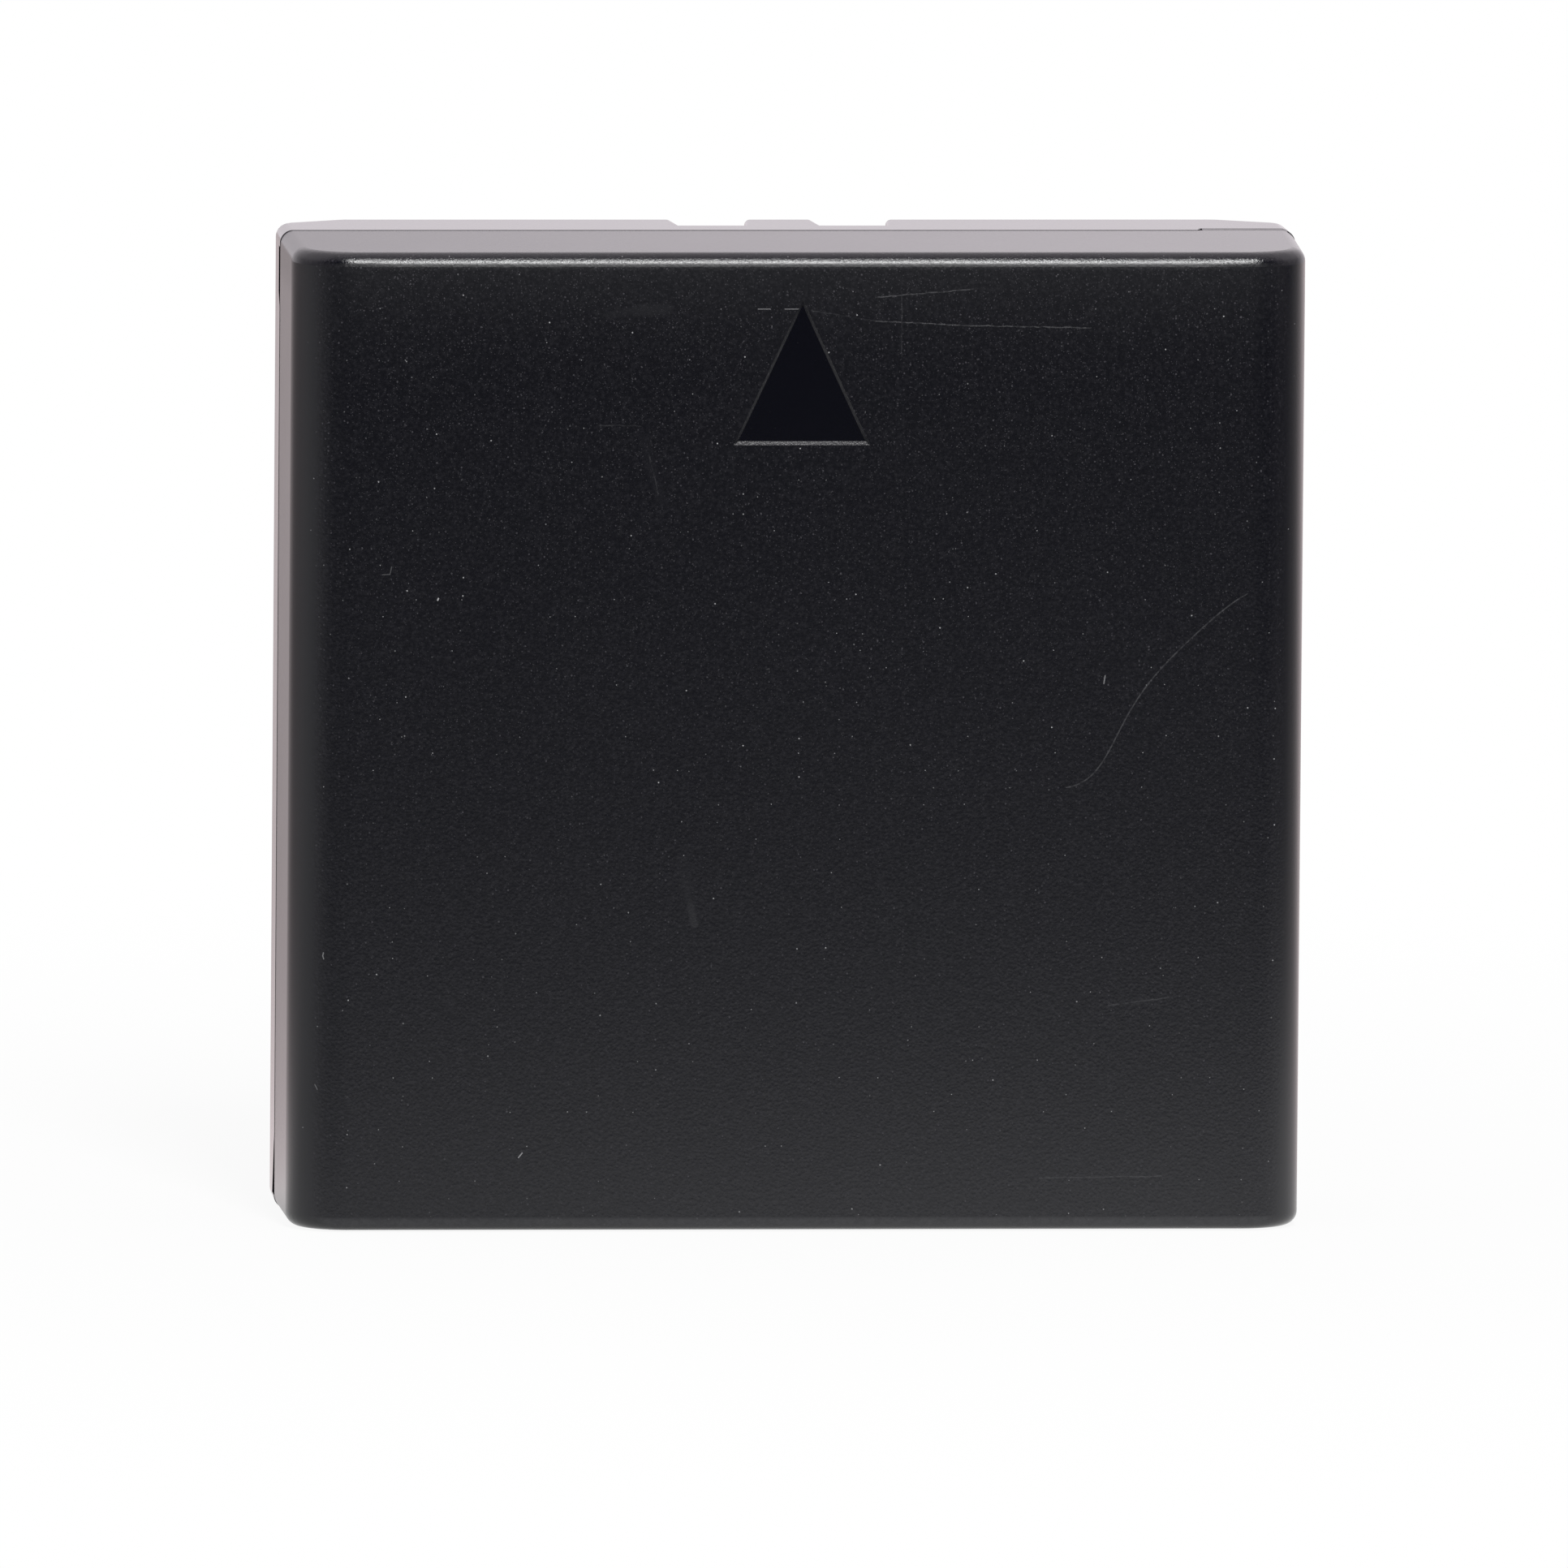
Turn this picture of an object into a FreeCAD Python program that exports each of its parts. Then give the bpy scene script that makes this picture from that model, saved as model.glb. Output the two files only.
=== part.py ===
import FreeCAD, Part
import math
import os
import re
import Sketcher

# Rechargeable battery pack for a camera flash: two moulded shells closed on three pouch cells
# and a protection board. Width along X, front face towards -Y, contact end up, standing at z = 0.

doc = FreeCAD.newDocument("FlashBattery")
sheet = doc.addObject("Spreadsheet::Sheet", "Sizes")

# Sizes in millimetres and degrees
SIZES = [
    ("body_width", "66.0", "widest, at the seam"),
    ("body_height", "63.8", "tallest, at the seam"),
    ("body_depth", "21.5", "front face to back face"),
    ("back_shell_depth", "8.85", "seam to back face"),
    ("wall", "1.4", "shell wall at the seam"),
    ("draft_angle", "0.8", "mould draft of the side walls and of the back shell's top"),
    ("front_top_draft", "1.1", "mould draft of the front shell's top"),
    ("front_edge_radius", "3.8", "upright edges of the front face"),
    ("front_rim_radius", "0.9", "rounding round the front shell's top and bottom"),
    ("back_rim_radius", "0.85", "rounding round the back shell's top and bottom"),
    ("back_chamfer_width", "4.2", "upright back edges, measured across"),
    ("back_chamfer_depth", "2.9", "upright back edges, measured in depth"),
    ("chamfer_blend", "1.6", "soft edges of that chamfer"),
    ("seam_bevel", "0.07", "bevel of both rims where they meet"),
    ("seam_step", "0.025", "back shell stands proud of the front shell at the top and sides"),
    ("tongue_thickness", "0.6", "inner lip of the front shell"),
    ("tongue_height", "2.1", "reach of that lip into the back shell"),
    ("tongue_clearance", "0.1", "room round the lip"),
    ("relief_start", "1.1", "corner to the upper rim cut of each side"),
    ("relief_reach", "5.0", "corner to the far end of each side rim cut"),
    ("relief_upper_depth", "1.2", "upper side rim cut, back from the seam"),
    ("relief_lower_depth", "2.1", "lower side rim cut, back from the seam at its low end"),
    ("relief_tip_depth", "0.6", "lower side rim cut, at its high end"),
    ("relief_ramp", "0.9", "sloped end of each side rim cut"),
    ("thumb_length", "6.2", "thumb relief along the top, in from the right side"),
    ("thumb_depth", "1.4", "thumb relief, back from the seam"),
    ("thumb_sink", "0.1", "thumb relief, below the top at the seam"),
    ("thumb_nick", "0.2", "slanted cut at its inner end, to each side"),
    ("arrow_base", "8.85", "insertion arrow, width of its base"),
    ("arrow_height", "9.49", "base to point"),
    ("arrow_drop", "3.22", "top edge to point"),
    ("arrow_depth", "0.19", "depth of the sunk floor"),
    ("arrow_base_run", "0.26", "sloped wall along the base, seen from the front"),
    ("arrow_side_run", "0.185", "sloped walls along the sides, seen from the front"),
    ("slot_pitch", "9.2", "between the two contact slots"),
    ("slot_width", "4.1", "at the inner end"),
    ("slot_mouth_width", "4.85", "at the back face"),
    ("slot_depth", "5.4", "in from the back face"),
    ("slot_length", "8.0", "down from the top"),
    ("slot_floor", "1.2", "thickness under the slots"),
    ("slot_edge_radius", "0.35", "upright edges of the mouth"),
    ("block_wall", "1.2", "walls round the slots"),
    ("contact_width", "3.2", "plated strip"),
    ("contact_thickness", "0.3", "plated strip"),
    ("contact_drop", "1.2", "strip end below the top"),
    ("contact_foot", "2.2", "soldered foot on the board"),
    ("contact_clearance", "0.15", "room round the strip in its passage"),
    ("rib_reach", "2.8", "side ribs that centre the cells"),
    ("rib_thickness", "1.2", "side ribs"),
    ("rib_first", "5.0", "lowest rib above the floor"),
    ("rib_pitch", "14.0", "rib to rib"),
    ("rail_reach", "1.6", "rails that hold the board"),
    ("rail_thickness", "1.0", "rails"),
    ("rail_clearance", "0.1", "room above the board"),
    ("foam_thickness", "0.65", "pads against front and back wall"),
    ("foam_margin", "3.5", "pad edge inside the cell edge"),
    ("tape_thickness", "0.3", "tape between the cells"),
    ("tape_margin", "5.0", "tape edge inside the cell edge"),
    ("cell_clearance", "0.3", "cell to rib"),
    ("cell_edge_radius", "1.1", "rounding of the pouch"),
    ("terrace_height", "2.2", "folded seal above the pouch"),
    ("terrace_thickness", "0.9", "folded seal"),
    ("terrace_inset", "1.8", "seal end inside the pouch edge"),
    ("tab_spacing", "24.0", "between a cell's two tabs"),
    ("tab_width", "4.0", "tab strip"),
    ("tab_thickness", "0.25", "tab strip"),
    ("tab_foot", "1.8", "tab fold under the board"),
    ("tab_clearance", "0.25", "slit round a tab"),
    ("tab_room", "2.4", "seal to board"),
    ("insulator_thickness", "0.3", "fibre sheet"),
    ("board_thickness", "1.0", "circuit board"),
    ("board_clearance", "0.2", "board edge to shell"),
    ("board_gap", "1.7", "board to the block of the slots"),
    ("board_margin", "0.8", "board edge behind the contact"),
    ("board_corner", "1.5", "cut corners at the back"),
    ("switch_spacing", "15.0", "between the two switches"),
    ("switch_width", "5.0", "switch body"),
    ("switch_length", "4.0", "switch body"),
    ("switch_height", "1.1", "switch body"),
    ("chip_width", "6.4", "protection chip"),
    ("chip_length", "4.4", "protection chip"),
    ("chip_height", "1.1", "protection chip"),
    ("chip_inset", "11.4", "board end to the middle of the protection chip"),
    ("lead_pitch", "1.27", "leads of switches and chip"),
    ("lead_width", "0.4", "leads"),
    ("lead_thickness", "0.2", "leads"),
    ("lead_reach", "0.9", "leads past the body"),
    ("shunt_width", "6.3", "sense resistor"),
    ("shunt_length", "3.1", "sense resistor"),
    ("shunt_height", "0.7", "sense resistor"),
    ("shunt_inset", "13.4", "board end to the middle of the sense resistor"),
    ("fuse_width", "6.1", "fuse"),
    ("fuse_length", "2.6", "fuse"),
    ("fuse_height", "1.2", "fuse"),
    ("fuse_inset", "14.4", "board end to the middle of the fuse"),
    ("thermistor_width", "2.0", "thermistor"),
    ("thermistor_length", "1.3", "thermistor"),
    ("thermistor_height", "0.9", "thermistor"),
    ("thermistor_inset", "5.4", "board end to the middle of the thermistor"),
    ("capacitor_width", "1.6", "filter capacitor"),
    ("capacitor_length", "0.8", "filter capacitor"),
    ("capacitor_height", "0.8", "filter capacitor"),
    ("capacitor_pitch", "2.4", "capacitor to capacitor"),
    ("front_row", "4.5", "board front edge to the middle of the front row of components"),
    ("rear_row", "4.6", "board back edge to the middle of the rear row of components"),
]
for line, (name, value, note) in enumerate(SIZES, 1):
    sheet.set("A%d" % line, name)
    sheet.set("B%d" % line, value)
    sheet.set("C%d" % line, note)
    sheet.setAlias("B%d" % line, name)
doc.recompute()


def ex(text):
    """Turn size names into references to the sheet."""
    return re.sub("[a-z_]+", lambda word: ("Sizes." if word.group() in NAMES else "") + word.group(), text)


NAMES = set(name for name, value, note in SIZES)

# Planes and heights that several pieces share
HALF = "( body_width / 2 )"
FRONT_HALF = "( body_width / 2 - seam_step )"
FRONT_TOP = "( body_height - seam_step )"
SEAM = "( body_depth / 2 - back_shell_depth )"
FRONT = "( 0 - body_depth / 2 )"
BACK = "( body_depth / 2 )"
FRONT_DEPTH = "( body_depth - back_shell_depth )"
INNER_HALF = "( body_width / 2 - wall )"
INNER_TOP = "( body_height - wall )"
INNER_FRONT = "( wall - body_depth / 2 )"
INNER_BACK = "( body_depth / 2 - wall )"
LIP_HALF = "( body_width / 2 - wall + tongue_thickness )"
SLOT_FACE = "( body_depth / 2 - slot_depth )"
SLOT_BOTTOM = "( body_height - slot_length )"
BLOCK_BOTTOM = "( body_height - slot_length - slot_floor )"
BLOCK_HALF = "( slot_pitch / 2 + slot_mouth_width / 2 + block_wall )"
BOARD_TOP = "( body_height - slot_length - slot_floor - board_gap )"
BOARD_BOTTOM = "( body_height - slot_length - slot_floor - board_gap - board_thickness )"
BOARD_FRONT = "( wall + board_clearance - body_depth / 2 )"
BOARD_REAR = "( body_depth / 2 - slot_depth + contact_thickness + board_margin )"
TERRACE_TOP = "( " + BOARD_BOTTOM + " - tab_room )"
POUCH_TOP = "( " + BOARD_BOTTOM + " - tab_room - terrace_height )"
CELL_HALF = "( body_width / 2 - wall - rib_reach - cell_clearance )"
CELL_THICK = "( ( body_depth - 2 * wall - 2 * foam_thickness - 2 * tape_thickness ) / 3 )"
CELL_PITCH = "( " + CELL_THICK + " + tape_thickness )"
FRONT_ROW = "( " + BOARD_FRONT + " + front_row )"
REAR_ROW = "( " + BOARD_REAR + " - rear_row )"


def number(text):
    """Present value of an expression, as a plain number."""
    result = sheet.evalExpression(ex(text))
    return float(getattr(result, "Value", result))


def origin_plane(body, role):
    return next(item for item in body.Origin.OriginFeatures if item.Role == role)


def new_body(name):
    body = doc.addObject("PartDesign::Body", name)
    body.Label = name
    return body


def new_sketch(body, name, role, offset):
    """Sketch on one of the body's origin planes, moved along its normal."""
    sketch = body.newObject("Sketcher::SketchObject", name)
    sketch.AttachmentSupport = (origin_plane(body, role), [""])
    sketch.MapMode = "FlatFace"
    sketch.setExpression("AttachmentOffset.Base.z", ex(offset))
    return sketch


def place_point(sketch, line, across, up):
    """Fix the start of a line at a distance from the sketch's own axes."""
    for kind, axis, text in (("DistanceX", -2, across), ("DistanceY", -1, up)):
        value = number(text)
        if abs(value) < 1e-9:
            sketch.addConstraint(Sketcher.Constraint("PointOnObject", line, 1, axis))
        elif value > 0:
            index = sketch.addConstraint(Sketcher.Constraint(kind, -1, 1, line, 1, value))
            sketch.setExpression("Constraints[%d]" % index, ex(text))
        else:
            index = sketch.addConstraint(Sketcher.Constraint(kind, line, 1, -1, 1, -value))
            sketch.setExpression("Constraints[%d]" % index, ex("0 - ( " + text + " )"))


def polygon(sketch, corners):
    """Closed outline through corners given as pairs of expressions."""
    spots = [FreeCAD.Vector(number(across), number(up), 0) for across, up in corners]
    first = sketch.GeometryCount
    count = len(spots)
    for step in range(count):
        sketch.addGeometry(Part.LineSegment(spots[step], spots[(step + 1) % count]))
    for step in range(count):
        join = Sketcher.Constraint("Coincident", first + step, 2, first + (step + 1) % count, 1)
        sketch.addConstraint(join)
    for step, (across, up) in enumerate(corners):
        place_point(sketch, first + step, across, up)


def rectangle(sketch, left, right, low, high):
    polygon(sketch, [(left, low), (right, low), (right, high), (left, high)])


def pad(body, sketch, length, backwards=False):
    feature = body.newObject("PartDesign::Pad", sketch.Name + "Pad")
    feature.Profile = sketch
    feature.setExpression("Length", ex(length))
    feature.Reversed = backwards
    doc.recompute()
    return feature


def pocket(body, sketch, length, backwards=False):
    feature = body.newObject("PartDesign::Pocket", sketch.Name + "Pocket")
    feature.Profile = sketch
    feature.setExpression("Length", ex(length))
    feature.Reversed = backwards
    doc.recompute()
    return feature


def edges_where(feature, test):
    edges = feature.Shape.Edges
    return ["Edge%d" % (index + 1) for index, edge in enumerate(edges) if test(edge.BoundBox)]


def near(one, other):
    return abs(one - other) < 0.01


def round_edges(body, feature, names, radius):
    fillet = body.newObject("PartDesign::Fillet", feature.Name + "Round")
    fillet.Base = (feature, names)
    fillet.setExpression("Radius", ex(radius))
    doc.recompute()
    return fillet


def upright(box):
    return box.ZLength > 1 and box.XLength < 0.5 and box.YLength < 0.5


def shell_block(body, name, end, depth, half, top, top_draft):
    """Half of the case as a block that narrows from the seam by the mould draft, except underneath."""
    plan = new_sketch(body, name + "Plan", "XY_Plane", "0")
    narrow = "( " + half + " - " + depth + " * tan(draft_angle) )"
    polygon(plan, [("0 - " + half, SEAM), (half, SEAM), (narrow, end), ("0 - " + narrow, end)])
    pad(body, plan, top)
    wedge = new_sketch(body, name + "TopDraft", "YZ_Plane", "0 - body_width")
    polygon(wedge, [(SEAM, top), (end, top + " - " + depth + " * tan(" + top_draft + ")"), (end, top)])
    return pocket(body, wedge, "2 * body_width", True)


def rim_edges(feature):
    """Outline of the top and of the bottom face, the edges on the seam left out."""
    seam = number(SEAM)
    high = number("body_height")
    steepest = max(number("draft_angle"), number("front_top_draft"))
    drop = number("body_depth") * math.tan(math.radians(steepest)) + number("seam_step") + 0.01
    return edges_where(feature, lambda box: (
        (box.ZMax < 0.01 or box.ZMin > high - drop) and not (near(box.YMin, seam) and near(box.YMax, seam))))


def seam_bevel(body, feature):
    """Small bevel round the outside of a rim, so that the closed seam shows as a fine line."""
    seam = number(SEAM)
    names = edges_where(feature, lambda box: near(box.YMin, seam) and near(box.YMax, seam))
    bevel = body.newObject("PartDesign::Chamfer", feature.Name + "Bevel")
    bevel.Base = (feature, names)
    bevel.setExpression("Size", ex("seam_bevel"))
    doc.recompute()
    return bevel


# Front shell: a tray with rounded front edges, an inner lip along its rim and a sunk arrow
front = new_body("front_shell")
front_block = shell_block(front, "Front", FRONT, FRONT_DEPTH, FRONT_HALF, FRONT_TOP, "front_top_draft")
face_y = number(FRONT)
front_edges = edges_where(front_block, lambda box: upright(box) and near(box.YMin, face_y))
front_rounded = round_edges(front, front_block, front_edges, "front_edge_radius")
front_rim = round_edges(front, front_rounded, rim_edges(front_rounded), "front_rim_radius")
seam_bevel(front, front_rim)

cavity = new_sketch(front, "FrontCavity", "XZ_Plane", "0 - " + SEAM)
rectangle(cavity, "0 - " + INNER_HALF, INNER_HALF, "wall", INNER_TOP)
front_cavity = pocket(front, cavity, FRONT_DEPTH + " - wall", True)
inner_y = number(INNER_FRONT)
inner_edges = edges_where(front_cavity, lambda box: upright(box) and near(box.YMin, inner_y))
round_edges(front, front_cavity, inner_edges, "front_edge_radius - wall")

lip = new_sketch(front, "FrontLip", "XZ_Plane", "0 - " + SEAM)
rectangle(lip, "0 - " + LIP_HALF, LIP_HALF, "wall - tongue_thickness", INNER_TOP + " + tongue_thickness")
rectangle(lip, "0 - " + INNER_HALF, INNER_HALF, "wall", INNER_TOP)
front_lip = pad(front, lip, "tongue_height", True)

side_ribs = new_sketch(front, "FrontRibs", "XZ_Plane", "0 - " + INNER_FRONT)
for side in ("", "0 - "):
    ends = [side + INNER_HALF, side + "( " + INNER_HALF + " - rib_reach )"]
    ends.sort(key=number)
    rectangle(side_ribs, ends[0], ends[1], "wall + rib_first", "wall + rib_first + rib_thickness")
front_ribs = pad(front, side_ribs, FRONT_DEPTH + " - wall", True)
rib_row = front.newObject("PartDesign::LinearPattern", "FrontRibRow")
rib_row.Originals = [front_ribs]
rib_row.Direction = (origin_plane(front, "XY_Plane"), [""])
rib_row.setExpression("Length", ex("2 * rib_pitch"))
rib_row.Occurrences = 3
front.Tip = rib_row
doc.recompute()

rails = new_sketch(front, "FrontRails", "XZ_Plane", "0 - " + INNER_FRONT)
upper = BOARD_TOP + " + rail_clearance"
for side in ("", "0 - "):
    ends = [side + INNER_HALF, side + "( " + INNER_HALF + " - rail_reach )"]
    ends.sort(key=number)
    rectangle(rails, ends[0], ends[1], BOARD_BOTTOM + " - rail_thickness", BOARD_BOTTOM)
    rectangle(rails, ends[0], ends[1], upper, upper + " + rail_thickness")
front_rails = pad(front, rails, FRONT_DEPTH + " - wall", True)

# The arrow narrows from its outline on the face to its floor, more along the base than along the sides
arrow = new_sketch(front, "FrontArrow", "XZ_Plane", "0 - " + FRONT)
ARROW_FOOT = "( body_height - arrow_drop - arrow_height )"
polygon(arrow, [
    ("0 - arrow_base / 2", ARROW_FOOT), ("arrow_base / 2", ARROW_FOOT), ("0", "body_height - arrow_drop"),
])
arrow_floor = new_sketch(front, "FrontArrowFloor", "XZ_Plane", "0 - " + FRONT + " - arrow_depth")
SIDE_RATIO = "( arrow_base / 2 / arrow_height )"
SIDE_SHIFT = "( arrow_side_run * sqrt( 1 + " + SIDE_RATIO + " * " + SIDE_RATIO + " ) )"
FLOOR_HALF = "( arrow_base / 2 - arrow_base_run * " + SIDE_RATIO + " - " + SIDE_SHIFT + " )"
polygon(arrow_floor, [
    ("0 - " + FLOOR_HALF, ARROW_FOOT + " + arrow_base_run"), (FLOOR_HALF, ARROW_FOOT + " + arrow_base_run"),
    ("0", "body_height - arrow_drop - " + SIDE_SHIFT + " / " + SIDE_RATIO),
])
front_arrow = front.newObject("PartDesign::SubtractiveLoft", "FrontArrowLoft")
front_arrow.Profile = arrow
front_arrow.Sections = [arrow_floor]
front_arrow.Ruled = True
front.Tip = front_arrow
doc.recompute()

# Back shell: a shallower tray with cut back edges, a block with the two contact slots inside its
# top edge, a step for the lip and a rim that is cut away at the corners
back = new_body("back_shell")
back_block = shell_block(back, "Back", BACK, "back_shell_depth", HALF, "body_height", "draft_angle")
back_y = number(BACK)
back_edges = edges_where(back_block, lambda box: upright(box) and near(box.YMax, back_y))
back_cut = back.newObject("PartDesign::Chamfer", "BackChamfer")
back_cut.Base = (back_block, back_edges)
back_cut.ChamferType = "Two distances"
back_cut.setExpression("Size", ex("back_chamfer_depth"))
back_cut.setExpression("Size2", ex("back_chamfer_width"))
doc.recompute()
cut_y = back_y - number("back_chamfer_depth") - 0.1
blend_edges = edges_where(back_cut, lambda box: upright(box) and box.YMin > cut_y)
back_soft = round_edges(back, back_cut, blend_edges, "chamfer_blend")
back_rim = round_edges(back, back_soft, rim_edges(back_soft), "back_rim_radius")
seam_bevel(back, back_rim)

# The cavity's back corners follow the outer chamfer at one wall's distance
SLANT = "sqrt( back_chamfer_width * back_chamfer_width + back_chamfer_depth * back_chamfer_depth )"
SPARE = "wall * ( back_chamfer_width + back_chamfer_depth - " + SLANT + " )"
INNER_CUT_WIDTH = "( back_chamfer_width - " + SPARE + " / back_chamfer_depth )"
INNER_CUT_DEPTH = "( back_chamfer_depth - " + SPARE + " / back_chamfer_width )"
cavity = new_sketch(back, "BackCavity", "XY_Plane", "wall")
polygon(cavity, [
    ("0 - " + INNER_HALF, SEAM),
    (INNER_HALF, SEAM),
    (INNER_HALF, INNER_BACK + " - " + INNER_CUT_DEPTH),
    (INNER_HALF + " - " + INNER_CUT_WIDTH, INNER_BACK),
    ("0 - ( " + INNER_HALF + " - " + INNER_CUT_WIDTH + " )", INNER_BACK),
    ("0 - " + INNER_HALF, INNER_BACK + " - " + INNER_CUT_DEPTH),
])
back_cavity = pocket(back, cavity, "body_height - 2 * wall", True)

side_ribs = new_sketch(back, "BackRibs", "XZ_Plane", "0 - " + SEAM)
for side in ("", "0 - "):
    ends = [side + "( " + HALF + " - wall / 2 )", side + "( " + INNER_HALF + " - rib_reach )"]
    ends.sort(key=number)
    rectangle(side_ribs, ends[0], ends[1], "wall + rib_first", "wall + rib_first + rib_thickness")
back_ribs = pad(back, side_ribs, "back_shell_depth - back_chamfer_depth", True)
rib_row = back.newObject("PartDesign::LinearPattern", "BackRibRow")
rib_row.Originals = [back_ribs]
rib_row.Direction = (origin_plane(back, "XY_Plane"), [""])
rib_row.setExpression("Length", ex("2 * rib_pitch"))
rib_row.Occurrences = 3
back.Tip = rib_row
doc.recompute()

slot_block = new_sketch(back, "SlotBlock", "XY_Plane", BLOCK_BOTTOM)
rectangle(slot_block, "0 - " + BLOCK_HALF, BLOCK_HALF, SLOT_FACE + " - block_wall", BACK + " - wall / 2")
pad(back, slot_block, "slot_length + slot_floor - wall / 2")

step = new_sketch(back, "LipStep", "XZ_Plane", "0 - " + SEAM)
room = "tongue_thickness + tongue_clearance"
rectangle(step, "0 - ( " + INNER_HALF + " + " + room + " )", INNER_HALF + " + " + room,
          "wall - ( " + room + " )", INNER_TOP + " + " + room)
pocket(back, step, "tongue_height + tongue_clearance")

slots = new_sketch(back, "ContactSlots", "XY_Plane", "body_height")
for side in ("0 - ", ""):
    middle = side + "slot_pitch / 2"
    polygon(slots, [
        (middle + " - slot_width / 2", SLOT_FACE),
        (middle + " + slot_width / 2", SLOT_FACE),
        (middle + " + slot_mouth_width / 2", BACK),
        (middle + " + slot_mouth_width / 2", BACK + " + wall"),
        (middle + " - slot_mouth_width / 2", BACK + " + wall"),
        (middle + " - slot_mouth_width / 2", BACK),
    ])
back_slots = pocket(back, slots, "slot_length")
mouth = number("slot_pitch / 2 + slot_mouth_width / 2") + 0.1
mouth_edges = edges_where(back_slots, lambda box: (
    upright(box) and near(box.YMax, back_y) and abs(box.XMin) < mouth and box.ZMin > number(SLOT_BOTTOM) - 0.1))
round_edges(back, back_slots, mouth_edges, "slot_edge_radius")

passages = new_sketch(back, "ContactPassages", "XY_Plane", SLOT_BOTTOM)
for side in ("0 - ", ""):
    middle = side + "slot_pitch / 2"
    rectangle(passages, middle + " - contact_width / 2 - contact_clearance",
              middle + " + contact_width / 2 + contact_clearance",
              SLOT_FACE, SLOT_FACE + " + contact_thickness + contact_clearance")
pocket(back, passages, "slot_floor")

# Rim cuts near the corners of both sides, seen square to the side that they cut
STEP_HALF = "( " + INNER_HALF + " + " + room + " )"
side_cuts = new_sketch(back, "SideRimCuts", "YZ_Plane", STEP_HALF)
upper_cut = SEAM + " + relief_upper_depth"
polygon(side_cuts, [
    (SEAM, "body_height - relief_reach"), (upper_cut, "body_height - relief_reach + relief_ramp"),
    (upper_cut, "body_height - relief_start"), (SEAM, "body_height - relief_start"),
])
polygon(side_cuts, [
    (SEAM, "back_rim_radius"), (SEAM + " + relief_lower_depth", "back_rim_radius"),
    (SEAM + " + relief_tip_depth", "relief_reach - relief_ramp"), (SEAM, "relief_reach"),
])
right_cuts = pocket(back, side_cuts, "wall * 2", True)
left_cuts = back.newObject("PartDesign::Mirrored", "LeftRimCuts")
left_cuts.Originals = [right_cuts]
left_cuts.MirrorPlane = (origin_plane(back, "YZ_Plane"), [""])
back.Tip = left_cuts
doc.recompute()

# Thumb relief: a shallow ramp along the top of the rim at the right, with a slanted cut at its inner end
THUMB_END = "( " + HALF + " - thumb_length )"
ramp = new_sketch(back, "ThumbRelief", "YZ_Plane", THUMB_END)
ramp_back = SEAM + " + thumb_depth"
polygon(ramp, [
    (SEAM, "body_height - thumb_sink"), (ramp_back, "body_height - thumb_depth * tan(draft_angle)"),
    (ramp_back, "body_height + wall"), (SEAM, "body_height + wall"),
])
pocket(back, ramp, "thumb_length + wall", True)
nick = new_sketch(back, "ThumbNick", "XY_Plane", "body_height - thumb_sink")
nick_right = THUMB_END + " + thumb_nick"
polygon(nick, [(THUMB_END + " - thumb_nick", SEAM), (nick_right, SEAM), (nick_right, ramp_back)])
pocket(back, nick, "wall", True)

# Contacts: plated strips that stand against the inner end of each slot, with a foot on the board
for name, side in (("positive_contact", "0 - "), ("negative_contact", "")):
    contact = new_body(name)
    middle = side + "slot_pitch / 2"
    strip = new_sketch(contact, name + "Strip", "YZ_Plane", middle + " - contact_width / 2")
    outer = SLOT_FACE + " + contact_thickness"
    tip = "body_height - contact_drop"
    polygon(strip, [
        (SLOT_FACE + " - contact_foot", BOARD_TOP), (outer, BOARD_TOP), (outer, tip), (SLOT_FACE, tip),
        (SLOT_FACE, BOARD_TOP + " + contact_thickness"),
        (SLOT_FACE + " - contact_foot", BOARD_TOP + " + contact_thickness"),
    ])
    bent = pad(contact, strip, "contact_width")
    low = number(BOARD_TOP) + 0.01
    bend = edges_where(bent, lambda box: box.XLength > 1 and box.ZMax < low and near(box.YMin, number(outer)))
    round_edges(contact, bent, bend, "contact_thickness * 0.9")

# Pouch cells: three sealed solids side by side, each with a folded seal and two tabs on top
for order, name in enumerate(("front_cell", "middle_cell", "rear_cell")):
    cell = new_body(name)
    face = "( " + INNER_FRONT + " + foam_thickness + %d * " % order + CELL_PITCH + " )"
    middle = "( " + face + " + " + CELL_THICK + " / 2 )"
    outline = new_sketch(cell, name + "Pouch", "XZ_Plane", "0 - " + face)
    rectangle(outline, "0 - " + CELL_HALF, CELL_HALF, "wall", POUCH_TOP)
    pouch = pad(cell, outline, CELL_THICK, True)
    pouch_edges = edges_where(pouch, lambda box: box.YLength < 0.01)
    round_edges(cell, pouch, pouch_edges, "cell_edge_radius")
    seal = new_sketch(cell, name + "Seal", "XY_Plane", POUCH_TOP)
    seal_half = CELL_HALF + " - terrace_inset"
    rectangle(seal, "0 - ( " + seal_half + " )", seal_half,
              middle + " - terrace_thickness / 2", middle + " + terrace_thickness / 2")
    pad(cell, seal, "terrace_height")
    for count, side in enumerate(("0 - ", "")):
        tab = new_sketch(cell, name + "Tab%d" % count, "YZ_Plane", side + "tab_spacing / 2 - tab_width / 2")
        behind = middle + " + tab_thickness / 2"
        before = middle + " - tab_thickness / 2"
        polygon(tab, [
            (before, TERRACE_TOP), (behind, TERRACE_TOP), (behind, BOARD_BOTTOM),
            (behind + " - tab_foot", BOARD_BOTTOM), (behind + " - tab_foot", BOARD_BOTTOM + " - tab_thickness"),
            (before, BOARD_BOTTOM + " - tab_thickness"),
        ])
        pad(cell, tab, "tab_width")


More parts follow.
